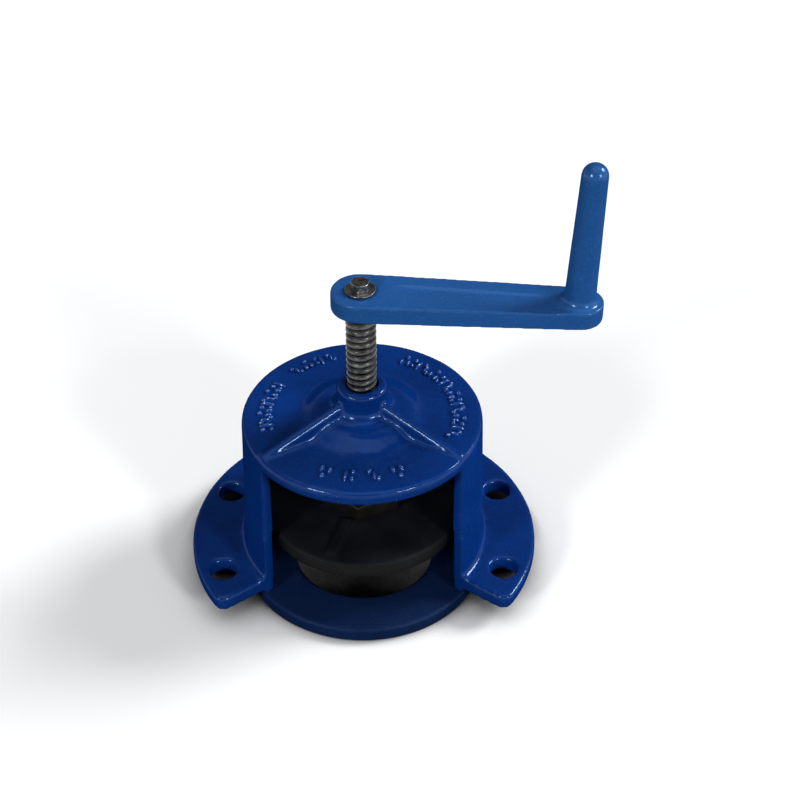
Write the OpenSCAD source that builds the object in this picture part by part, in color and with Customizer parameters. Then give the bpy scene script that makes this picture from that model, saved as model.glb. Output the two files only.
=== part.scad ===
// Pond drain valve with a rising plug.
// A cast cage with one inlet window stands on a seat ring. A threaded spindle runs
// in the hub of the cage and lifts a rubber-faced plug off the seat when the crank
// on top is turned. Millimetres, +Z up. The origin is on the spindle axis, at the
// underside of the seat ring, and the window faces -Y.

/* [Seat ring] */
// Radius of the conical seat at its upper edge
seat_r = 63; // [52:0.5:76]
// Height of the conical seat
seat_h = 8; // [5:0.5:10]
// Inward slope of the conical seat, on the radius
seat_taper = 6; // [3:0.5:8]
// Height of the seat ring
ring_h = 12.5; // [11:0.5:18]
// How far the ring stands out past the foot of the cage wall
ring_ledge = 0.8; // [0.4:0.1:6]

/* [Plug] */
// Lift of the plug off its seat in the drawn position
lift = 41.2; // [30:0.1:50]
// Width of the plug's rim outside the seat
plug_lap = 19.5; // [14:0.5:24]
// Clearance between the plug and the cage wall at the top of its travel
plug_gap = 5.3; // [3:0.1:8]
// Height of the plug's rim band
rim_h = 10; // [8:0.5:16]
// Rise of the plug's top from its rim to its middle
crown_h = 4; // [2:0.5:8]
// Height of a rib on the plug
plug_rib_h = 3; // [2:0.5:4]
// Thickness of a rib on the plug
plug_rib_t = 8; // [5:0.5:10]
// Thickness of the seal's flat lip
lip_t = 4; // [2:0.5:6]
// How far the seal's lip stays inside the plug's rim
lip_inset = 1; // [0.5:0.5:12]
// Clearance between the closed seal and its seat
seal_gap = 0.3; // [0.2:0.05:0.5]
// Width of the seal's lower face outside the clamp plate
seal_land = 8; // [5:0.5:12]
// Thickness of the clamp plate
clamp_t = 6; // [4:0.5:8]
// Clearance between the cap nut and the top plate at the top of the travel
stop_gap = 7.5; // [5:0.5:12]

/* [Cage] */
// Height of the top plate above the underside of the seat ring
cage_h = 153.5; // [145:0.5:190]
// Wall thickness of the cage
wall_t = 8.2; // [6:0.1:11]
// Draft of the cage wall, degrees from vertical
wall_draft = 1.5; // [0.5:0.25:3]
// Thickness of the top plate
plate_t = 12; // [10:0.5:15]
// Rounding of the top plate's rim
plate_round = 3; // [2:0.5:5]
// Width of the inlet window, degrees around the axis
window_angle = 107; // [80:1:120]

/* [Flange] */
// Width of the flange outside the cage wall
flange_w = 44.25; // [38:0.25:60]
// Thickness of the flange
flange_t = 13; // [9:0.5:14]
// Height of the flange's top face
flange_top = 30; // [28:0.5:45]
// Distance from a hole's centre to the flange's edge
hole_edge = 19.5; // [17:0.5:25]
// Diameter of a flange hole
bolt_hole_d = 22; // [14:0.5:26]
// Angle between two flange holes
bolt_step = 45; // [40:1:48]
// Rounding of the flange's free corners
flange_corner_r = 9; // [4:0.5:14]

/* [Dome, hub and ribs] */
// Radius of the dome's foot on the top plate
dome_r = 56; // [48:0.5:70]
// Height of the dome
dome_h = 8; // [6:0.5:12]
// Width of the dome's level ring round the hub's foot
dome_flat = 1; // [0.5:0.5:4]
// Wall of the hub round the spindle
hub_wall = 8; // [6:0.5:12]
// Height of the hub above the top plate
hub_h = 31.5; // [24:0.5:40]
// Thickness of a rib at its crest
rib_t = 8; // [6:0.5:12]
// Draft of a rib's sides, degrees
rib_draft = 10; // [1:0.5:14]
// How far the ribs' crests start below the hub's top
rib_drop = 10; // [4:0.5:14]
// Number of ribs, evenly spaced from one side of the window round to the other
rib_count = 3; // [2:1:5]

/* [Spindle] */
// Radius of the spindle over its thread
spindle_r = 12; // [10:0.5:15]
// Running clearance on the radius, in the hub and in the cap nut
running_gap = 0.06; // [0.02:0.01:0.1]
// Width of the collar outside the spindle's lower end
collar_w = 6; // [4:0.5:9]
// Height of the collar
collar_h = 8; // [5:0.5:10]
// Wall of the cap nut outside the collar, at its flats
cap_wall = 13; // [6:0.5:16]
// Height of the cap nut
cap_h = 14; // [10:0.5:18]
// Bare thread left between hub and crank when the valve is closed
spare_thread = 30.7; // [10:0.1:60]
// How far the corners of the crank's square stay inside the thread
square_inset = 1.4; // [0.5:0.1:3]

/* [Crank] */
// Distance from the spindle axis to the grip's axis
crank_len = 162; // [120:0.5:200]
// Radius of the crank's boss
boss_r = 22.5; // [21:0.5:28]
// Thickness of the crank at its boss
boss_t = 15; // [13:0.5:20]
// Thickness of the crank at its outer end
end_t = 14.5; // [10:0.5:15]
// Depth of the long recess in the arm's top
recess_t = 1.6; // [1:0.1:3]
// Width of the arm's edge on the front side of the recess
recess_edge = 5; // [3:0.5:8]
// How much wider the arm's edge is on the other side of the recess
recess_shift = 8; // [0:0.5:10]
// Height of the grip above the crank's top face
grip_h = 115.5; // [90:0.5:140]
// Radius of the grip at its foot
grip_r = 11.8; // [10:0.1:14]
// Taper of the grip, on the radius
grip_taper = 2; // [0.5:0.5:4]
// Lean of the grip away from the spindle, degrees
grip_lean = 1.7; // [0:0.1:4]
// How far the arm's outer end stands out past the grip's foot
grip_ledge = 6.3; // [5.5:0.1:10]
// Turn of the crank away from +X in the drawn position
crank_angle = -5; // [-90:1:90]

/* [Crank bolt] */
// Nominal diameter of the bolt
bolt_d = 8; // [6:1:10]
// Across flats of its head
bolt_af = 13; // [12:1:19]
// Height of its head
bolt_head_h = 6.5; // [5:0.5:9]
// How far the washer laps over the corners of the crank's square hole
washer_lap = 0.8; // [0.5:0.1:4]
// Thickness of the washer
washer_t = 2.5; // [1.5:0.5:3]
// Length of its shank below the crank's top face
bolt_shank = 18; // [15:1:25]

/* [Hidden] */
$fn = 96;

// Colours
cage_blue = [0.03, 0.15, 0.37];
ring_blue = [0.04, 0.10, 0.23];
crank_blue = [0.13, 0.32, 0.57];
steel = [0.45, 0.45, 0.44];
rubber = [0.06, 0.06, 0.07];
bronze = [0.25, 0.20, 0.14];

// Clearances and small roundings shared by several pieces
fit_gap = 0.15;     // on the radius or flat, between pieces that are assembled by hand
edge = 1.5;         // rounding of outer edges
soft_edge = 2.5;    // rounding of the flange's upper edge and of the hub's upper edge
fillet = 6;         // rounding of inner corners of the casting
hub_fillet = 9;     // rounding between hub and dome
rib_crest_r = 3;    // rounding of a rib's crest
crown_ledge = 8;    // width of the plug's level middle outside the cap nut's flats
washer_sink = 1;    // how deep the washer sits in the crank
clamp_out = 2;      // how far the clamp plate stands out below the seal
bevel_gap = 0.5;    // how far a hexagon's bevel passes above the upper edges of its flats
over = 1;           // how far a cutting shape passes the face it cuts
steps = 5;          // straight lines in a drawn quarter arc

// Counts and directions
hole_count = 6;
plug_rib_count = 3;
plug_rib_from = -110;   // direction of the plug's first rib
cap_turn = -97;         // direction of a corner of the cap nut
bolt_turn = 20;         // direction of a corner of the bolt's head, from the crank's

// Heights along the axis
plate_under = cage_h - plate_t;
hub_top = cage_h + hub_h;
flange_under = flange_top - flange_t;
lip_under = ring_h + seal_gap + lift;
plug_under = lip_under + lip_t;
rim_top = plug_under + rim_h;
crown_top = rim_top + crown_h;
seal_under = lip_under - seat_h;
clamp_under = seal_under - clamp_out;
cap_top = crown_top + cap_h;
collar_under = crown_top - collar_h;
crank_under = hub_top + lift + spare_thread;
crank_top = crank_under + boss_t;

// Travel of the plug above the drawn position
rise = plate_under - stop_gap - cap_top;

// Radii about the axis
throat_r = seat_r - seat_taper;
plug_r = seat_r + plug_lap;
lip_r = plug_r - lip_inset;
clamp_r = throat_r - seal_land;
cage_r = plug_r + plug_gap + wall_t
       - (cage_h - plate_round - rim_top - rise) * tan(wall_draft);
ring_r = wall_out(ring_h) + ring_ledge;
flange_r = wall_out(flange_top) + flange_w;
bolt_circle_r = flange_r - hole_edge;
hub_r = spindle_r + hub_wall;
collar_r = spindle_r + collar_w;
crown_r = collar_r + cap_wall + crown_ledge;

// Angles from +X: the window's right side, and the rib beside it
wall_from = -90 + window_angle / 2;
rib_from = wall_from + asin(rib_t / 2 / cage_r);

// Flat-to-flat and other widths
cap_af = 2 * (collar_r + cap_wall);
square_af = (spindle_r - square_inset) * sqrt(2);
end_r = grip_r + grip_ledge;
grip_foot = grip_ledge - over / 2;
grip_tip_r = grip_r - grip_taper;
washer_r = (square_af / 2 + fit_gap) * sqrt(2) + washer_lap;

// Radius of the cage wall's outer and inner face at height z
function wall_out(z) = cage_r + (cage_h - plate_round - z) * tan(wall_draft);
function wall_in(z) = wall_out(z) - wall_t;

// Points along an arc about [x, y]
function arc(x, y, r, from, to, n = steps) =
    [for (i = [0:n]) let (a = from + (to - from) * i / n) [x + r * cos(a), y + r * sin(a)]];

// Outline round two circles, r1 at the origin and r2 at [len, 0], with tangent sides
function tapered_slot(r1, r2, len, n = 16) =
    let (a = acos((r1 - r2) / len))
    concat(arc(0, 0, r1, a, 360 - a, n), arc(len, 0, r2, -a, a, n));

module place_ribs() {
    step = (180 - 2 * rib_from) / (rib_count - 1);
    for (i = [0:rib_count - 1]) rotate(rib_from + i * step) children();
}

// A hexagon head or nut, its upper corners bevelled.
module hexagon(af, h) {
    intersection() {
        cylinder(r = af / sqrt(3), h = h, $fn = 6);
        translate([0, 0, -over]) cylinder(r1 = af, r2 = af / 2, h = h + over + bevel_gap);
    }
}

// Seat ring: the plain ring that the cage stands on, with the conical seat for the seal.
module seat_ring() {
    color(ring_blue) rotate_extrude() polygon(concat(
        [[throat_r, 0]],
        arc(ring_r - edge, edge, edge, -90, 0),
        arc(ring_r - edge, ring_h - edge, edge, 0, 90),
        [[seat_r, ring_h], [throat_r, ring_h - seat_h]]));
}

// Section of the whole casting: wall, flange, top plate, dome and hub, with no window.
module cage_section() {
    dome_top = cage_h + dome_h;
    slope_w = dome_r - hub_r - hub_fillet - dome_flat;
    turn = 2 * atan(dome_h / slope_w);
    bend_r = slope_w / 2 / sin(turn);
    polygon(concat(
        [[wall_in(ring_h), ring_h], [wall_out(ring_h), ring_h]],
        arc(wall_out(flange_under) + fillet / 2, flange_under - fillet / 2, fillet / 2, 180, 90),
        arc(flange_r - edge, flange_under + edge, edge, -90, 0),
        arc(flange_r - soft_edge, flange_top - soft_edge, soft_edge, 0, 90),
        arc(wall_out(flange_top) + fillet, flange_top + fillet, fillet, 270, 180),
        arc(cage_r - plate_round, cage_h - plate_round, plate_round, 0, 90),
        arc(dome_r, cage_h + bend_r, bend_r, 270, 270 - turn),
        arc(dome_r - slope_w, dome_top - bend_r, bend_r, 90 - turn + turn / steps, 90, steps - 1),
        arc(hub_r + hub_fillet, dome_top + hub_fillet, hub_fillet, 270, 180),
        arc(hub_r - soft_edge, hub_top - soft_edge, soft_edge, 0, 90),
        [[0, hub_top], [0, plate_under]],
        arc(wall_in(plate_under) - fillet, plate_under - fillet, fillet, 90, 0)));
}

// The window: a wedge out of wall and flange that leaves the plate with a rounded lower rim.
module window() {
    inner_r = wall_in(plate_under) - fillet - over;
    rotate([0, 0, wall_from - window_angle]) rotate_extrude(angle = window_angle)
        polygon(concat(
            [[inner_r, ring_h - over], [flange_r + over, ring_h - over],
             [flange_r + over, plate_under + plate_round]],
            arc(cage_r - plate_round, plate_under + plate_round, plate_round, 0, -90),
            [[inner_r, plate_under]]));
}

// What rounds the flange's free corner off, for the corner at the right of the window.
module corner_cut() {
    turn = asin(flange_corner_r / (flange_r - flange_corner_r));
    reach = flange_r + 5 * over;
    x = (flange_r - flange_corner_r) * cos(turn);
    translate([0, 0, flange_under - over]) rotate(wall_from) linear_extrude(flange_t + 2 * over)
        polygon(concat(
            arc(x, flange_corner_r, flange_corner_r, -90, turn, 2 * steps),
            [[reach * cos(turn), reach * sin(turn)], [reach, -over], [x, -over]]));
}

module flange_holes() {
    for (i = [0:hole_count - 1]) rotate(90 + (i - (hole_count - 1) / 2) * bolt_step)
        translate([bolt_circle_r, 0, flange_under - over])
            cylinder(d = bolt_hole_d, h = flange_t + 2 * over);
}

// A rib that falls in a straight line from the hub to the rim of the plate.
module rib() {
    rim_r = cage_r - plate_round / 2;
    inner_r = hub_r - hub_wall / 2;
    depth = hub_h + plate_t;
    foot = rib_t / 2 + depth * tan(rib_draft);
    slope = atan((hub_h - rib_drop - over) / (rim_r - inner_r));
    intersection() {
        translate([inner_r, 0, hub_top - rib_drop]) rotate([0, slope, 0])
            translate([-hub_r, 0, 0]) rotate([90, 0, 90])
            linear_extrude(2 * cage_r) polygon(concat(
                [[-foot, -depth]],
                [[foot, -depth]],
                arc(rib_t / 2 - rib_crest_r, -rib_crest_r, rib_crest_r, 0, 90),
                arc(-rib_t / 2 + rib_crest_r, -rib_crest_r, rib_crest_r, 90, 180)));
        translate([0, 0, plate_under + edge])
            cylinder(r = rim_r, h = hub_top - plate_under - edge);
        translate([0, -cage_r, plate_under]) cube([cage_r, 2 * cage_r, hub_top]);
    }
}

// Cage body: the single casting of wall, flange, top plate, dome, hub and ribs.
module cage_body() {
    color(cage_blue) difference() {
        union() {
            rotate_extrude() cage_section();
            place_ribs() rib();
        }
        window();
        corner_cut();
        mirror([1, 0, 0]) corner_cut();
        flange_holes();
        translate([0, 0, plate_under - over])
            cylinder(r = spindle_r + running_gap, h = hub_top - plate_under + 2 * over);
    }
}

// Spindle: the threaded bar, its square for the crank above and its collar below.
module spindle() {
    square_h = boss_t - washer_sink - edge;
    color(steel) difference() {
        union() {
            translate([0, 0, collar_under]) cylinder(r = spindle_r, h = crank_under - collar_under);
            translate([0, 0, collar_under]) cylinder(r = collar_r, h = collar_h - fit_gap);
            rotate(crank_angle) translate([-square_af / 2, -square_af / 2, crank_under - over])
                cube([square_af, square_af, square_h + over]);
        }
        translate([0, 0, crank_top - bolt_shank - over])
            cylinder(d = bolt_d + 2 * fit_gap, h = bolt_shank + 2 * over);
    }
}

// Side view of the crank's arm, thick at the boss and thinner at the end.
module arm_side() {
    polygon([[-boss_r - over, crank_under], [boss_r, crank_under],
             [crank_len + end_r + over, crank_top - end_t],
             [crank_len + end_r + over, crank_top], [-boss_r - over, crank_top]]);
}

// Half section of the grip, with its foot rounded out into the arm. Height zero is the arm's top.
module grip_section() {
    polygon(concat(
        [[0, -end_t / 2], [grip_r + grip_foot, -end_t / 2]],
        arc(grip_r + grip_foot, grip_foot, grip_foot, 270, 180),
        arc(0, grip_h - grip_tip_r, grip_tip_r, 0, 90, 2 * steps)));
}

// The long recess in the arm's top, between the washer's seat and the grip's foot.
module arm_recess() {
    side = recess_edge + recess_shift / 2;
    from_x = washer_r + 3 * edge + boss_r - side;
    to_x = crank_len - grip_r - grip_foot - 2 * edge - (end_r - side);
    translate([from_x, -recess_shift / 2, crank_top - recess_t]) linear_extrude(recess_t + over)
        polygon(tapered_slot(boss_r - side, end_r - side, to_x - from_x, 2 * steps));
}

// Crank: arm, boss and upright grip in one casting.
module crank() {
    square = square_af + 2 * fit_gap;
    color(crank_blue) rotate(crank_angle) difference() {
        union() {
            intersection() {
                translate([0, 0, crank_under])
                    linear_extrude(boss_t) polygon(tapered_slot(boss_r, end_r, crank_len));
                rotate([90, 0, 0]) translate([0, 0, -2 * boss_r])
                    linear_extrude(4 * boss_r) arm_side();
            }
            translate([crank_len, 0, crank_top]) rotate([0, grip_lean, 0])
                rotate_extrude() grip_section();
        }
        arm_recess();
        translate([0, 0, crank_top - washer_sink])
            cylinder(r = washer_r + edge, h = washer_sink + over);
        translate([-square / 2, -square / 2, crank_under - over])
            cube([square, square, boss_t + 2 * over]);
    }
}

module crank_washer() {
    color(steel) translate([0, 0, crank_top - washer_sink]) difference() {
        cylinder(r = washer_r, h = washer_t);
        translate([0, 0, -over]) cylinder(d = bolt_d + 2 * fit_gap, h = washer_t + 2 * over);
    }
}

// Crank bolt: hexagon head on the washer, shank in the spindle's tapped end.
module crank_bolt() {
    head_under = crank_top - washer_sink + washer_t;
    color(steel) {
        translate([0, 0, crank_top - bolt_shank])
            cylinder(d = bolt_d, h = head_under - crank_top + bolt_shank + over);
        translate([0, 0, head_under]) rotate(crank_angle + bolt_turn) hexagon(bolt_af, bolt_head_h);
    }
}

// A low rib on the plug, from the cap nut's corners out to the rim, along the sloping top.
module plug_rib() {
    from_r = cap_af / sqrt(3) + over;
    to_r = plug_r - 2 * edge - over;
    rotate([90, 0, 0]) translate([0, 0, -plug_rib_t / 2]) linear_extrude(plug_rib_t) polygon([
        [from_r, plug_under + rim_h / 2], [to_r, plug_under + rim_h / 2], [to_r, rim_top],
        [to_r - 2 * plug_rib_h, rim_top + plug_rib_h], [crown_r, crown_top + plug_rib_h],
        [from_r, crown_top + plug_rib_h]]);
}

// Plug disc: the rubber-coated casting that closes the seat.
module plug_disc() {
    color(rubber) difference() {
        union() {
            rotate_extrude() polygon(concat(
                [[0, plug_under]],
                arc(plug_r - edge / 2, plug_under + edge / 2, edge / 2, -90, 0),
                arc(plug_r - 2 * edge, rim_top - 2 * edge, 2 * edge, 0, 90),
                [[crown_r, crown_top], [0, crown_top]]));
            for (i = [0:plug_rib_count - 1])
                rotate(plug_rib_from + i * 360 / plug_rib_count) plug_rib();
        }
        translate([0, 0, collar_under - fit_gap])
            cylinder(r = collar_r + fit_gap, h = collar_h + 2 * fit_gap + over);
    }
}

// Plug seal: the rubber ring with its flat lip and the cone that enters the seat.
module plug_seal() {
    color(rubber) rotate_extrude() polygon([
        [spindle_r, plug_under], [lip_r, plug_under], [lip_r, lip_under],
        [seat_r - 2 * seal_gap, lip_under], [throat_r - 2 * seal_gap, seal_under],
        [clamp_r + fit_gap, seal_under], [clamp_r + fit_gap, clamp_under + clamp_t],
        [spindle_r, clamp_under + clamp_t]]);
}

// Clamp plate: the disc under the plug that holds the seal.
module clamp_plate() {
    color(steel) rotate_extrude() polygon(concat(
        [[0, clamp_under]],
        arc(clamp_r - edge, clamp_under + edge, edge, -90, 0),
        [[clamp_r, clamp_under + clamp_t], [0, clamp_under + clamp_t]]));
}

// Cap nut: the hexagon on the plug that traps the spindle's collar.
module cap_nut() {
    color(bronze) translate([0, 0, crown_top]) difference() {
        rotate(cap_turn) hexagon(cap_af, cap_h);
        translate([0, 0, -over]) cylinder(r = spindle_r + running_gap, h = cap_h + 2 * over);
    }
}

seat_ring();
cage_body();
spindle();
crank();
crank_washer();
crank_bolt();
plug_disc();
plug_seal();
clamp_plate();
cap_nut();
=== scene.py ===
import math
import random

import bmesh
import bpy
from mathutils import Matrix, Vector, noise


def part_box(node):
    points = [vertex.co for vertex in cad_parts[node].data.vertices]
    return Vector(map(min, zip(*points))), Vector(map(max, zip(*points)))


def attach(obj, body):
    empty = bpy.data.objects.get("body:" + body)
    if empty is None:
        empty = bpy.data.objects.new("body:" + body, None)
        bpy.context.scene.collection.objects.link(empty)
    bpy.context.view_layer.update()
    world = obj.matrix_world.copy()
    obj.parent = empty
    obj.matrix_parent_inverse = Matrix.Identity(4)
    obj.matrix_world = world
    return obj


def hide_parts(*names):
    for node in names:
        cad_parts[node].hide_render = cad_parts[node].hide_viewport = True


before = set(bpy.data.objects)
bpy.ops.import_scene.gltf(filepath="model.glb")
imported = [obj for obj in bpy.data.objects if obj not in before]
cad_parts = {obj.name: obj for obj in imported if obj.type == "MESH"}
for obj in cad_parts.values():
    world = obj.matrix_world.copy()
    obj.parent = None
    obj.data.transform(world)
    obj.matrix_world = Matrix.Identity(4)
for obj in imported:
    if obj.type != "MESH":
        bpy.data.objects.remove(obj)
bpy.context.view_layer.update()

MM = 0.001
THREAD_PITCH = 6 * MM
THREAD_DEPTH = 1.7 * MM
BULGE = 0.97    # how round the thread's crest is, below 1
THREAD_FADE = (4 * MM, 3 * MM)    # length of the run-out above the collar and under the crank
RUNNING_GAP = 0.2 * MM    # keeps the visible spindle clear of the nut and the hub
WELD = 0.001 * MM
CRANK_TURN = math.radians(-5)
FLOOR_LIFT = 0.14
# the recess in the arm's top, along the crank's own axes
RECESS_DEPTH = (0.05 * MM, 2.2 * MM)
RECESS_X = (15 * MM, 146 * MM)
RECESS_Y = (-19 * MM, 11 * MM)
# (where it has run out, over what length) toward its front side, the spindle and the grip
RECESS_FRONT = (-16 * MM, 24 * MM)
RECESS_INNER = (18 * MM, 24 * MM)
RECESS_OUTER = (144 * MM, 20 * MM)
WASHER_SINK = 1 * MM
MARK_SINK = 0.2 * MM
MARK_HEIGHT = (2.9, 3.5)    # mm above its own middle
MARK_JITTER = 0.3    # mm inward or outward
# (sideways, outward, half width, half length) in mm of each spot in a mark
MARK_KINDS = (
    ((-1.7, 0, 1.25, 4.6), (1.8, 2.6, 1.5, 1.8), (1.8, -2.6, 1.4, 1.5)),
    ((-2.0, -2.8, 1.6, 1.8), (2.0, 2.8, 1.6, 1.8), (0.0, 0.0, 1.2, 3.2)),
    ((0, 3.4, 1.7, 1.8), (-2.2, -1.8, 1.5, 2.4), (2.2, -1.8, 1.5, 2.4)),
)
# (radius in mm, first and last azimuth, number of marks, scale, seed) of each row
MARK_ROWS = ((74, -112, -68, 4, 1.5, 2), (76, 193, 153, 7, 1.35, 3),
             (77, 134, 110, 4, 1.2, 4), (76, 62, -20, 12, 1.35, 5))
DRIP_SINK = 0.3 * MM
DRIP_START = 3    # mm below the top plate
DRIP_RADII = (0.9, 1.1, 2.2)    # mm outward, sideways and down
# (azimuth, further drop in mm, size) of each run of paint
DRIPS = ((-101, 1.5, 1.0), (-100.6, 5.5, 0.8), (-74, 6, 0.7), (-58, 3, 0.7))


# ---------------------------------------------------------------- sizes taken from the frame

def lo(name):
    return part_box(name)[0]


def hi(name):
    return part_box(name)[1]


def points(name):
    """A CAD node's corner points, as vectors in the shared frame."""
    return [vertex.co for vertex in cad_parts[name].data.vertices]


def off_axis(point):
    return math.hypot(point.x, point.y)


FLOOR_Z = lo("seat_ring").z
FLANGE_R = hi("cage_body").x
PLATE_TOP = max(p.z for p in points("cage_body") if p.y < -60 * MM and abs(p.x) < 30 * MM)
PLATE_R = max(off_axis(p) for p in points("cage_body") if p.z > PLATE_TOP - 4 * MM)
THROAT_R = min(off_axis(p) for p in points("seat_ring"))
CRANK_UNDER = lo("crank").z
CRANK_TOP = lo("crank_washer").z + WASHER_SINK
SPINDLE_R = max(off_axis(p) for p in points("spindle") if abs(p.z - CRANK_UNDER) < 0.1 * MM)
COLLAR_R = hi("spindle").x
COLLAR_TOP = max(p.z for p in points("spindle") if off_axis(p) > SPINDLE_R + 3 * MM)
SQUARE_REACH = max(abs(p.x) for p in points("spindle") if p.z > CRANK_UNDER + 5 * MM)
SQUARE_SIDE = 1.38 * min(SQUARE_REACH, SPINDLE_R)    # hidden in the boss, narrower than in the CAD model


# ---------------------------------------------------------------- node helpers

def node(tree, kind, **values):
    """A shader node, with sockets set by name and other settings by attribute."""
    made = tree.nodes.new(kind)
    for name, value in values.items():
        if hasattr(made, name):
            setattr(made, name, value)
        else:
            made.inputs[name.replace("_", " ")].default_value = value
    return made


def material(name, **values):
    """A new node material and its principled shader."""
    made = bpy.data.materials.new(name)
    made.use_nodes = True
    shader = made.node_tree.nodes["Principled BSDF"]
    for key, value in values.items():
        shader.inputs[key.replace("_", " ")].default_value = value
    return made, made.node_tree, shader


def srgb(r, g, b):
    """A colour written in 0..255 display values, as linear RGBA."""
    def line(c):
        c /= 255
        return c / 12.92 if c <= 0.04045 else ((c + 0.055) / 1.055) ** 2.4
    return (line(r), line(g), line(b), 1.0)


def coords(tree):
    return node(tree, "ShaderNodeTexCoord").outputs["Object"]


def noise_tex(tree, vector, scale, detail, rough):
    tex = node(tree, "ShaderNodeTexNoise", Scale=scale, Detail=detail, Roughness=rough)
    tree.links.new(vector, tex.inputs["Vector"])
    return tex.outputs["Fac"]


def ramp(tree, factor, *stops):
    """A colour ramp through (position, value or colour) stops."""
    made = node(tree, "ShaderNodeValToRGB")
    elements = made.color_ramp.elements
    while len(elements) < len(stops):
        elements.new(0.5)
    for element, (position, value) in zip(elements, stops):
        element.position = position
        element.color = value if isinstance(value, tuple) else (value, value, value, 1)
    tree.links.new(factor, made.inputs["Fac"])
    return made.outputs["Color"]


def fill(tree, socket, value):
    """Links a socket to the value, or sets it."""
    if isinstance(value, bpy.types.NodeSocket):
        tree.links.new(value, socket)
    else:
        socket.default_value = value


def mixed(tree, factor, a, b, blend="MIX"):
    """Colour mix: a and b are sockets or colours."""
    made = node(tree, "ShaderNodeMix", data_type="RGBA", blend_type=blend)
    for socket, value in ((made.inputs[0], factor), (made.inputs[6], a), (made.inputs[7], b)):
        fill(tree, socket, value)
    return made.outputs[2]


def math_node(tree, operation, a, b=0.0):
    made = node(tree, "ShaderNodeMath", operation=operation)
    for socket, value in zip(made.inputs, (a, b)):
        fill(tree, socket, value)
    return made.outputs[0]


def part_of(tree, vector, axis):
    """The X, Y or Z part of a vector."""
    split = node(tree, "ShaderNodeSeparateXYZ")
    tree.links.new(vector, split.inputs[0])
    return split.outputs[axis]


def upness(tree):
    """How far the surface faces up: 1 on a flat top, 0 on a wall."""
    return part_of(tree, node(tree, "ShaderNodeNewGeometry").outputs["Normal"], "Z")


def off_axis_of(tree, vector):
    """The vector's distance from the Z axis."""
    flat = node(tree, "ShaderNodeVectorMath", operation="MULTIPLY")
    tree.links.new(vector, flat.inputs[0])
    flat.inputs[1].default_value = (1, 1, 0)
    away = node(tree, "ShaderNodeVectorMath", operation="LENGTH")
    tree.links.new(flat.outputs[0], away.inputs[0])
    return away.outputs["Value"]


def bump(tree, height, strength, distance, below=None):
    made = node(tree, "ShaderNodeBump", Strength=strength, Distance=distance)
    tree.links.new(height, made.inputs["Height"])
    if below is not None:
        tree.links.new(below, made.inputs["Normal"])
    return made.outputs["Normal"]


def seen_ray(tree):
    """One for camera, glossy and transmission rays."""
    path = node(tree, "ShaderNodeLightPath")
    seen = math_node(tree, "MAXIMUM", path.outputs["Is Camera Ray"], path.outputs["Is Glossy Ray"])
    return math_node(tree, "MAXIMUM", seen, path.outputs["Is Transmission Ray"])


# ---------------------------------------------------------------- materials

def epoxy_paint(name, colour, shade, rough, wave, gloss, tint):
    """Thick epoxy paint on a casting: slow colour drift, waves in the film, orange peel and dust.

    The gloss fades where the surface is seen at a slant and on the walls.
    """
    made, tree, shader = material(name, Specular_Tint=tint)
    place = coords(tree)
    facing = node(tree, "ShaderNodeLayerWeight", Blend=0.5).outputs["Facing"]
    rim = ramp(tree, facing, (0.0, gloss), (0.3, gloss * 0.9), (0.42, gloss * 0.35), (0.55, 0.0))
    upward = ramp(tree, upness(tree), (0.05, 0.06), (0.4, 1.0))
    tree.links.new(math_node(tree, "MULTIPLY", rim, upward), shader.inputs["Specular IOR Level"])
    drift = ramp(tree, noise_tex(tree, place, 18, 4, 0.6), (0.32, colour), (0.70, shade))
    specks = ramp(tree, noise_tex(tree, place, 700, 2, 0.5), (0.56, 0.0), (0.74, 1.0))
    dusty = tuple(c * 1.2 + 0.002 for c in colour[:3]) + (1,)
    tree.links.new(mixed(tree, specks, drift, dusty), shader.inputs["Base Color"])
    sheen = ramp(tree, noise_tex(tree, place, 60, 3, 0.6), (0.3, rough * 0.8), (0.75, rough * 1.35))
    tree.links.new(sheen, shader.inputs["Roughness"])
    peel = bump(tree, noise_tex(tree, place, 420, 2, 0.5), 0.12, 0.4 * MM)
    waves = bump(tree, noise_tex(tree, place, 90, 2, 0.45), wave, 1.6 * MM, peel)
    tree.links.new(waves, shader.inputs["Normal"])
    return made


def turned_steel(name, colour, dark, rough):
    """Stainless steel gone dull, with dark stains."""
    made, tree, shader = material(name, Metallic=1.0)
    place = coords(tree)
    stain = ramp(tree, noise_tex(tree, place, 160, 5, 0.65), (0.35, dark), (0.66, colour))
    tree.links.new(stain, shader.inputs["Base Color"])
    sheen = ramp(tree, noise_tex(tree, place, 240, 3, 0.6), (0.3, rough * 0.75), (0.8, rough * 1.4))
    tree.links.new(sheen, shader.inputs["Roughness"])
    grain = bump(tree, noise_tex(tree, place, 1400, 2, 0.6), 0.25, 0.15 * MM)
    tree.links.new(grain, shader.inputs["Normal"])
    return made


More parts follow.
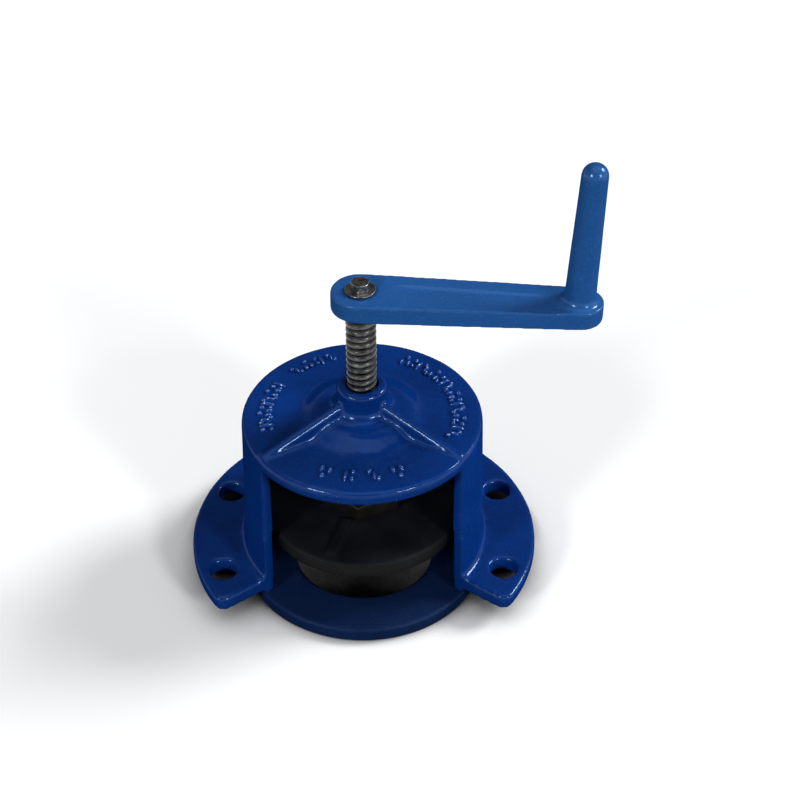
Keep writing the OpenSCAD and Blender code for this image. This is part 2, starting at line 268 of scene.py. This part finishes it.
def greased_steel(name, colour, stained, grease, rough):
    """Thread steel: worn crests, with old grease and dirt down in the groove."""
    made, tree, shader = material(name)
    place = coords(tree)
    depth = math_node(tree, "SUBTRACT", SPINDLE_R, off_axis_of(tree, place))
    sunk = math_node(tree, "DIVIDE", depth, THREAD_DEPTH)
    uneven = math_node(tree, "SUBTRACT", noise_tex(tree, place, 220, 4, 0.6), 0.5)
    patch = math_node(tree, "MULTIPLY", uneven, 0.8)
    cover = ramp(tree, math_node(tree, "ADD", sunk, patch), (0.25, 0.0), (0.7, 1.0))
    tone = ramp(tree, noise_tex(tree, place, 130, 4, 0.6), (0.35, stained), (0.65, colour))
    tree.links.new(mixed(tree, cover, tone, grease), shader.inputs["Base Color"])
    tree.links.new(ramp(tree, cover, (0.0, 1.0), (1.0, 0.0)), shader.inputs["Metallic"])
    tree.links.new(ramp(tree, cover, (0.0, rough), (1.0, 0.6)), shader.inputs["Roughness"])
    grain = bump(tree, noise_tex(tree, place, 900, 3, 0.6), 0.3, 0.2 * MM)
    tree.links.new(grain, shader.inputs["Normal"])
    return made


def rubber(name, colour, pale, rough):
    """Black rubber with a moulded skin and a pale bloom on its upper faces, which is partly painted light
    that makes the tops paler than the sides.
    """
    made, tree, shader = material(name, Specular_IOR_Level=0.12)
    place = coords(tree)
    bloom = ramp(tree, noise_tex(tree, place, 30, 5, 0.65), (0.35, 0.25), (0.75, 1.0))
    # painted light: the pale bloom is kept to the upward faces, so the tops read lighter than the sides;
    # dust below mixes both
    painted_top_light = ramp(tree, upness(tree), (0.2, 0.0), (0.9, 1.0))
    dust = math_node(tree, "MULTIPLY", bloom, painted_top_light)
    tree.links.new(mixed(tree, dust, colour, pale), shader.inputs["Base Color"])
    sheen = ramp(tree, noise_tex(tree, place, 45, 4, 0.6), (0.3, rough * 0.9), (0.7, rough * 1.15))
    tree.links.new(sheen, shader.inputs["Roughness"])
    grain = bump(tree, noise_tex(tree, place, 700, 3, 0.6), 0.2, 0.25 * MM)
    tree.links.new(grain, shader.inputs["Normal"])
    return made


def bronze(name):
    """Cast bronze under a brown film."""
    made, tree, shader = material(name, Metallic=0.7)
    place = coords(tree)
    tone = ramp(tree, noise_tex(tree, place, 120, 4, 0.6),
                (0.35, srgb(20, 19, 17)), (0.7, srgb(34, 31, 27)))
    tree.links.new(tone, shader.inputs["Base Color"])
    sheen = ramp(tree, noise_tex(tree, place, 200, 3, 0.5), (0.3, 0.45), (0.8, 0.62))
    tree.links.new(sheen, shader.inputs["Roughness"])
    grain = bump(tree, noise_tex(tree, place, 900, 3, 0.6), 0.3, 0.2 * MM)
    tree.links.new(grain, shader.inputs["Normal"])
    return made


def floor_white():
    """Plain pale floor: white where it is seen, grey for the light it gives back.

    It has painted shade: dimmed by ambient occlusion in close corners, and a painted shadow under the rear
    and the sides of the flange.
    """
    made, tree, shader = material("floor_white", Roughness=1.0, Specular_IOR_Level=0.0,
                                  Emission_Color=(1, 1, 1, 1))
    place = coords(tree)
    pale = ramp(tree, noise_tex(tree, place, 3, 2, 0.5), (0.3, 0.94), (0.7, 0.96))
    # painted shade: ambient occlusion dims the floor's colour and glow in close corners
    corner = node(tree, "ShaderNodeAmbientOcclusion", Distance=60 * MM, samples=12).outputs["AO"]
    away = off_axis_of(tree, place)
    close = ramp(tree, corner, (0.25, 0.05), (0.85, 1.0))
    # painted shadow: dark patches on the floor under the rear and the sides of the flange, seen through the
    # bolt holes
    back = math_node(tree, "ADD", part_of(tree, place, "Y"), 50 * MM)    # shifted, since a ramp starts at 0
    rear = math_node(tree, "MULTIPLY", ramp(tree, back, (60 * MM, 0.0), (115 * MM, 0.99)),
                     ramp(tree, away, (FLANGE_R + 4 * MM, 1.0), (FLANGE_R + 13 * MM, 0.0)))
    side = math_node(tree, "MULTIPLY", ramp(tree, back, (10 * MM, 0.0), (28 * MM, 1.0)),
                     ramp(tree, away, (FLANGE_R - 18 * MM, 1.0), (FLANGE_R - 6 * MM, 0.0)))
    under = math_node(tree, "MAXIMUM", rear, side)
    # the painted shade and painted shadow darken what the camera sees of the floor, and its glow
    painted_shade_factor = math_node(tree, "MULTIPLY", close, math_node(tree, "SUBTRACT", 1.0, under))
    seen = seen_ray(tree)
    shown = mixed(tree, 1.0, pale, painted_shade_factor, "MULTIPLY")
    tree.links.new(mixed(tree, seen, (0.3, 0.3, 0.3, 1), shown), shader.inputs["Base Color"])
    glow = math_node(tree, "MULTIPLY", seen, math_node(tree, "MULTIPLY", painted_shade_factor, FLOOR_LIFT))
    tree.links.new(glow, shader.inputs["Emission Strength"])
    return made


def pit_earth():
    """Dark wet ground in the mouth of the drain under the valve."""
    made, tree, shader = material("pit_earth", Roughness=0.9, Specular_IOR_Level=0.05)
    tone = ramp(tree, noise_tex(tree, coords(tree), 60, 5, 0.6),
                (0.3, srgb(62, 60, 61)), (0.7, srgb(90, 87, 86)))
    tree.links.new(tone, shader.inputs["Base Color"])
    return made


# ---------------------------------------------------------------- mesh helpers

def piece_from(name, bm, mat):
    """A new object from a bmesh, shaded smooth."""
    mesh = bpy.data.meshes.new(name)
    bm.to_mesh(mesh)
    bm.free()
    for polygon in mesh.polygons:
        polygon.use_smooth = True
    mesh.materials.append(mat)
    made = bpy.data.objects.new(name, mesh)
    bpy.context.scene.collection.objects.link(made)
    return made


def bake(piece):
    """Applies the piece's modifiers to its mesh."""
    graph = bpy.context.evaluated_depsgraph_get()
    mesh = bpy.data.meshes.new_from_object(piece.evaluated_get(graph))
    piece.modifiers.clear()
    old = piece.data
    piece.data = mesh
    bpy.data.meshes.remove(old)
    for polygon in mesh.polygons:
        polygon.use_smooth = True


def ripple(piece, depth, size):
    """Moves a piece's surface along its normals by slow noise."""
    normals = [vertex.normal.copy() for vertex in piece.data.vertices]
    for vertex, normal in zip(piece.data.vertices, normals):
        vertex.co += normal * depth * noise.noise(vertex.co / size)


def casting(name, cad_node, mat, voxel, passes, wave, wave_size, reshape=None):
    """A CAD node's form as one cast skin, with rounded edges and slightly wavy faces.

    The voxel size and the number of smoothing passes set how round the edges get.
    """
    bm = bmesh.new()
    bm.from_mesh(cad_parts[cad_node].data)
    bmesh.ops.remove_doubles(bm, verts=bm.verts, dist=WELD)
    piece = piece_from(name, bm, mat)
    skin = piece.modifiers.new("skin", "REMESH")
    skin.mode = "VOXEL"
    skin.voxel_size = voxel
    soften = piece.modifiers.new("soften", "SMOOTH")
    soften.factor = 0.5
    soften.iterations = passes
    bake(piece)
    if reshape:
        reshape(piece)
    ripple(piece, wave, wave_size)
    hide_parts(cad_node)
    return piece


def revolve(bm, outline, count):
    """Closed outline of (radius, height) points turned about Z."""
    rings = []
    for i in range(count):
        a = 2 * math.pi * i / count
        rings.append([bm.verts.new((r * math.cos(a), r * math.sin(a), z)) for r, z in outline])
    for i in range(count):
        here, there = rings[i], rings[(i + 1) % count]
        for j in range(len(outline)):
            k = (j + 1) % len(outline)
            bm.faces.new((here[j], there[j], there[k], here[k]))


def blob(bm, centre, radii, turn):
    """A closed rounded lump with three radii, turned about Z."""
    place = Matrix.Translation(centre) @ Matrix.Rotation(turn, 4, "Z") @ Matrix.Diagonal((*radii, 1))
    bmesh.ops.create_uvsphere(bm, u_segments=16, v_segments=10, radius=1, matrix=place)


# ---------------------------------------------------------------- pieces

def tie(piece, body):
    """Ties a piece to its body."""
    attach(piece, body)


def mark_row(bm, radius, start, end, count, scale, seed):
    """Marks evenly along an arc, each of bars and pips, in three kinds by turns."""
    pick = random.Random(seed)
    grow = 1 + 0.5 * (scale - 1)
    for i in range(count):
        a = math.radians(start + (end - start) * i / (count - 1))
        for across, out, half_w, half_l in MARK_KINDS[(i + seed) % len(MARK_KINDS)]:
            r = (radius + scale * out + pick.uniform(-MARK_JITTER, MARK_JITTER)) * MM
            turn = a + scale * across * MM / r
            centre = (r * math.cos(turn), r * math.sin(turn), PLATE_TOP - MARK_SINK)
            radii = (half_l * scale * MM, half_w * grow * MM, pick.uniform(*MARK_HEIGHT) * MM)
            blob(bm, centre, radii, turn)


def build_marks(mat):
    """Plain pips and short bars round the top plate, where such castings carry their marks."""
    bm = bmesh.new()
    for row in MARK_ROWS:
        mark_row(bm, *row)
    tie(piece_from("cage_marks", bm, mat), "body")


def build_drips(mat):
    """Runs of paint that dried on the lip of the top plate."""
    bm = bmesh.new()
    for azimuth, drop, size in DRIPS:
        a = math.radians(azimuth)
        r = PLATE_R - DRIP_SINK
        centre = (r * math.cos(a), r * math.sin(a), PLATE_TOP - (DRIP_START + drop) * MM)
        blob(bm, centre, [part * size * MM for part in DRIP_RADII], a)
    tie(piece_from("cage_drips", bm, mat), "body")


def build_cage(mat):
    piece = casting("cage_casting", "cage_body", mat, 1.7 * MM, 6, 0.25 * MM, 22 * MM)
    tie(piece, "body")


def build_ring(mat):
    piece = casting("ring_casting", "seat_ring", mat, 1.5 * MM, 2, 0.15 * MM, 30 * MM)
    tie(piece, "body")


def smooth(t):
    """A smooth step from 0 at t = 0 to 1 at t = 1."""
    t = min(1.0, max(0.0, t))
    return t * t * (3 - 2 * t)


def ease_recess(piece):
    """Lets the recess in the arm's top run out toward its front side and its ends."""
    out_of = Matrix.Rotation(-CRANK_TURN, 3, "Z")
    for vertex in piece.data.vertices:
        depth = CRANK_TOP - vertex.co.z
        place = out_of @ vertex.co
        if (RECESS_DEPTH[0] < depth < RECESS_DEPTH[1] and RECESS_X[0] < place.x < RECESS_X[1]
                and RECESS_Y[0] < place.y < RECESS_Y[1]):
            front = smooth((place.y - RECESS_FRONT[0]) / RECESS_FRONT[1])
            inner = smooth((place.x - RECESS_INNER[0]) / RECESS_INNER[1])
            outer = smooth((RECESS_OUTER[0] - place.x) / RECESS_OUTER[1])
            vertex.co.z = CRANK_TOP - depth * (front * inner * outer)


def build_crank(mat):
    piece = casting("crank_casting", "crank", mat, 0.9 * MM, 12, 0.15 * MM, 18 * MM, ease_recess)
    tie(piece, "screw")


def build_plug(mat):
    piece = casting("plug_casting", "plug_disc", mat, 1.3 * MM, 3, 0.2 * MM, 20 * MM)
    tie(piece, "plug")


def build_seal(mat):
    piece = casting("seal_moulding", "plug_seal", mat, 1.2 * MM, 2, 0.15 * MM, 20 * MM)
    tie(piece, "plug")


def build_clamp(mat):
    piece = casting("clamp_disc", "clamp_plate", mat, 1.2 * MM, 2, 0.05 * MM, 20 * MM)
    tie(piece, "plug")


def build_nut(mat):
    piece = casting("cap_nut_casting", "cap_nut", mat, 0.7 * MM, 2, 0.05 * MM, 12 * MM)
    tie(piece, "plug")


def build_bolt(mat):
    piece = casting("crank_bolt_head", "crank_bolt", mat, 0.3 * MM, 2, 0.03 * MM, 4 * MM)
    tie(piece, "screw")


def build_washer(mat):
    piece = casting("crank_washer_disc", "crank_washer", mat, 0.35 * MM, 2, 0.04 * MM, 6 * MM)
    tie(piece, "screw")


def thread_depth(phase):
    """Groove depth over one pitch of a round thread: 0 on the crest, 1 in the narrow groove."""
    away = 1 - 2 * abs((phase % 1.0) - 0.5)
    return (1 - math.sqrt(1 - (BULGE * away) ** 2)) / (1 - math.sqrt(1 - BULGE ** 2))


def build_spindle(mat):
    """The spindle: a right-hand thread that fades out at both ends, the collar and the square."""
    segments, per_pitch = 72, 16
    bottom, top = COLLAR_TOP - 1 * MM, CRANK_UNDER
    rows = round((top - bottom) / THREAD_PITCH * per_pitch)
    bm = bmesh.new()
    rings = []
    for j in range(rows + 1):
        z = bottom + (top - bottom) * j / rows
        fade = max(0.0, min(1.0, (z - COLLAR_TOP) / THREAD_FADE[0], (top - z) / THREAD_FADE[1]))
        ring = []
        for i in range(segments):
            a = 2 * math.pi * i / segments
            groove = THREAD_DEPTH * fade * thread_depth(z / THREAD_PITCH - i / segments)
            r = SPINDLE_R - RUNNING_GAP - groove
            ring.append(bm.verts.new((r * math.cos(a), r * math.sin(a), z)))
        rings.append(ring)
    for here, there in zip(rings, rings[1:]):
        for i in range(segments):
            k = (i + 1) % segments
            bm.faces.new((here[i], here[k], there[k], there[i]))
    bm.faces.new(rings[0][::-1])
    bm.faces.new(rings[-1])
    under, soft = lo("spindle").z + RUNNING_GAP, 0.6 * MM
    rim, over = COLLAR_R - RUNNING_GAP, COLLAR_TOP - RUNNING_GAP
    revolve(bm, [(1 * MM, under), (rim - soft, under), (rim, under + soft),
                 (rim, over - soft), (rim - soft, over), (1 * MM, over)], 72)
    height = hi("spindle").z - CRANK_UNDER + 1 * MM
    place = (Matrix.Translation((0, 0, hi("spindle").z - height / 2))
             @ Matrix.Rotation(CRANK_TURN, 4, "Z")
             @ Matrix.Diagonal((SQUARE_SIDE, SQUARE_SIDE, height, 1)))
    bmesh.ops.create_cube(bm, size=1, matrix=place)
    piece = piece_from("spindle_threaded", bm, mat)
    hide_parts("spindle")
    tie(piece, "screw")


# ---------------------------------------------------------------- stage, light and camera

def build_stage():
    """A plain pale floor round a drain of the throat's size, over which the valve stands."""
    count, pit_r, floor_r, depth = 96, THROAT_R + 1 * MM, 6.0, 3 * MM
    floor, pit = bmesh.new(), bmesh.new()
    angles = [2 * math.pi * i / count for i in range(count)]
    circle = [(math.cos(a), math.sin(a)) for a in angles]
    inner = [floor.verts.new((pit_r * x, pit_r * y, FLOOR_Z)) for x, y in circle]
    outer = [floor.verts.new((floor_r * x, floor_r * y, FLOOR_Z)) for x, y in circle]
    rim = [pit.verts.new((pit_r * x, pit_r * y, FLOOR_Z)) for x, y in circle]
    foot = [pit.verts.new((pit_r * x, pit_r * y, FLOOR_Z - depth)) for x, y in circle]
    for i in range(count):
        k = (i + 1) % count
        floor.faces.new((inner[i], outer[i], outer[k], inner[k]))
        pit.faces.new((rim[i], rim[k], foot[k], foot[i]))
    pit.faces.new(foot)
    piece_from("floor", floor, floor_white())
    piece_from("drain_pit", pit, pit_earth())


def build_world():
    """A soft sky that lights from above, and what shows in its place.

    The camera sees white. Gloss mirrors white low down and straight overhead, and little between.
    """
    world = bpy.data.worlds.new("studio")
    bpy.context.scene.world = world
    world.use_nodes = True
    tree = world.node_tree
    up = part_of(tree, node(tree, "ShaderNodeTexCoord").outputs["Generated"], "Z")
    soft = tree.nodes["Background"]
    soft.inputs["Color"].default_value = (0.93, 0.97, 1.0, 1)
    tree.links.new(ramp(tree, up, (0.0, 0.05), (1.0, 0.28)), soft.inputs["Strength"])
    shown = node(tree, "ShaderNodeBackground")
    path = node(tree, "ShaderNodeLightPath")
    mirrored = ramp(tree, up, (0.12, 1.0), (0.38, 0.08), (0.78, 0.06), (0.98, 0.9))
    camera = path.outputs["Is Camera Ray"]
    tree.links.new(mixed(tree, camera, mirrored, (1, 1, 1, 1)), shown.inputs["Color"])
    split = node(tree, "ShaderNodeMixShader")
    tree.links.new(seen_ray(tree), split.inputs[0])
    tree.links.new(soft.outputs[0], split.inputs[1])
    tree.links.new(shown.outputs[0], split.inputs[2])
    tree.links.new(split.outputs[0], tree.nodes["World Output"].inputs["Surface"])


def build_lamp(name, azimuth, elevation, spread, strength):
    """A soft distant lamp."""
    data = bpy.data.lights.new(name, "SUN")
    data.angle = math.radians(spread)
    data.energy = strength
    lamp = bpy.data.objects.new(name, data)
    a, e = math.radians(azimuth), math.radians(elevation)
    way = Vector((math.cos(a) * math.cos(e), math.sin(a) * math.cos(e), math.sin(e)))
    lamp.rotation_euler = way.to_track_quat("Z", "Y").to_euler()
    bpy.context.scene.collection.objects.link(lamp)


def build_camera():
    """The photograph's viewpoint."""
    azimuth, elevation, roll = (math.radians(v) for v in (-0.71, 38.83, 0.17))
    distance = 1.246
    target = Vector((0.0297, 0, 0.1674))
    back = Vector((math.sin(azimuth) * math.cos(elevation),
                   -math.cos(azimuth) * math.cos(elevation), math.sin(elevation)))
    right = Vector((math.cos(azimuth), math.sin(azimuth), 0))
    up = back.cross(right)
    data = bpy.data.cameras.new("camera")
    data.lens = 71.66
    data.sensor_width = 36
    camera = bpy.data.objects.new("camera", data)
    turn = Matrix((right, up, back)).transposed() @ Matrix.Rotation(roll, 3, "Z")
    camera.matrix_world = Matrix.Translation(target + back * distance) @ turn.to_4x4()
    bpy.context.scene.collection.objects.link(camera)
    bpy.context.scene.camera = camera


# ---------------------------------------------------------------- all of it

bpy.context.scene.view_settings.view_transform = "Standard"

build_camera()
build_world()
build_stage()
# name, azimuth, elevation, spread, strength
build_lamp("front_left", -131, 26, 11, 1.3)
build_lamp("front_right", -49, 25, 11, 1.3)
build_lamp("window_right", 18, 37, 20, 2.3)

BLUE_SHEEN, PALE_SHEEN = (0.45, 0.70, 1.0, 1), (0.8, 0.9, 1.0, 1)
paint = epoxy_paint("cage_epoxy", srgb(8, 51, 124), srgb(6, 42, 105), 0.17, 0.35, 0.45, BLUE_SHEEN)
# painted highlight: the marks get a lighter copy of the cage's blue, standing in for the glints they catch
painted_glint_paint = epoxy_paint("marks_epoxy", srgb(18, 66, 144), srgb(12, 56, 130), 0.09, 0.25, 1.0, PALE_SHEEN)
pale_paint = epoxy_paint("crank_epoxy", srgb(36, 88, 154), srgb(31, 79, 140), 0.22, 0.2, 0.6, BLUE_SHEEN)
matt_paint = epoxy_paint("ring_epoxy", srgb(17, 37, 76), srgb(13, 30, 64), 0.45, 0.2, 0.15, BLUE_SHEEN)

build_cage(paint)
build_marks(painted_glint_paint)
build_drips(paint)
build_ring(matt_paint)
build_crank(pale_paint)
build_plug(rubber("plug_rubber", srgb(6, 7, 8), srgb(26, 28, 34), 0.6))
build_seal(rubber("seal_rubber", srgb(4, 4, 4), srgb(13, 13, 13), 0.6))
build_clamp(turned_steel("plate_steel", srgb(150, 150, 148), srgb(95, 92, 88), 0.4))
build_nut(bronze("nut_bronze"))
bolt_metal = turned_steel("bolt_steel", srgb(165, 165, 163), srgb(95, 95, 93), 0.3)
build_bolt(bolt_metal)
build_washer(bolt_metal)
build_spindle(greased_steel("spindle_steel", srgb(108, 107, 104), srgb(42, 42, 40), srgb(6, 6, 5), 0.2))
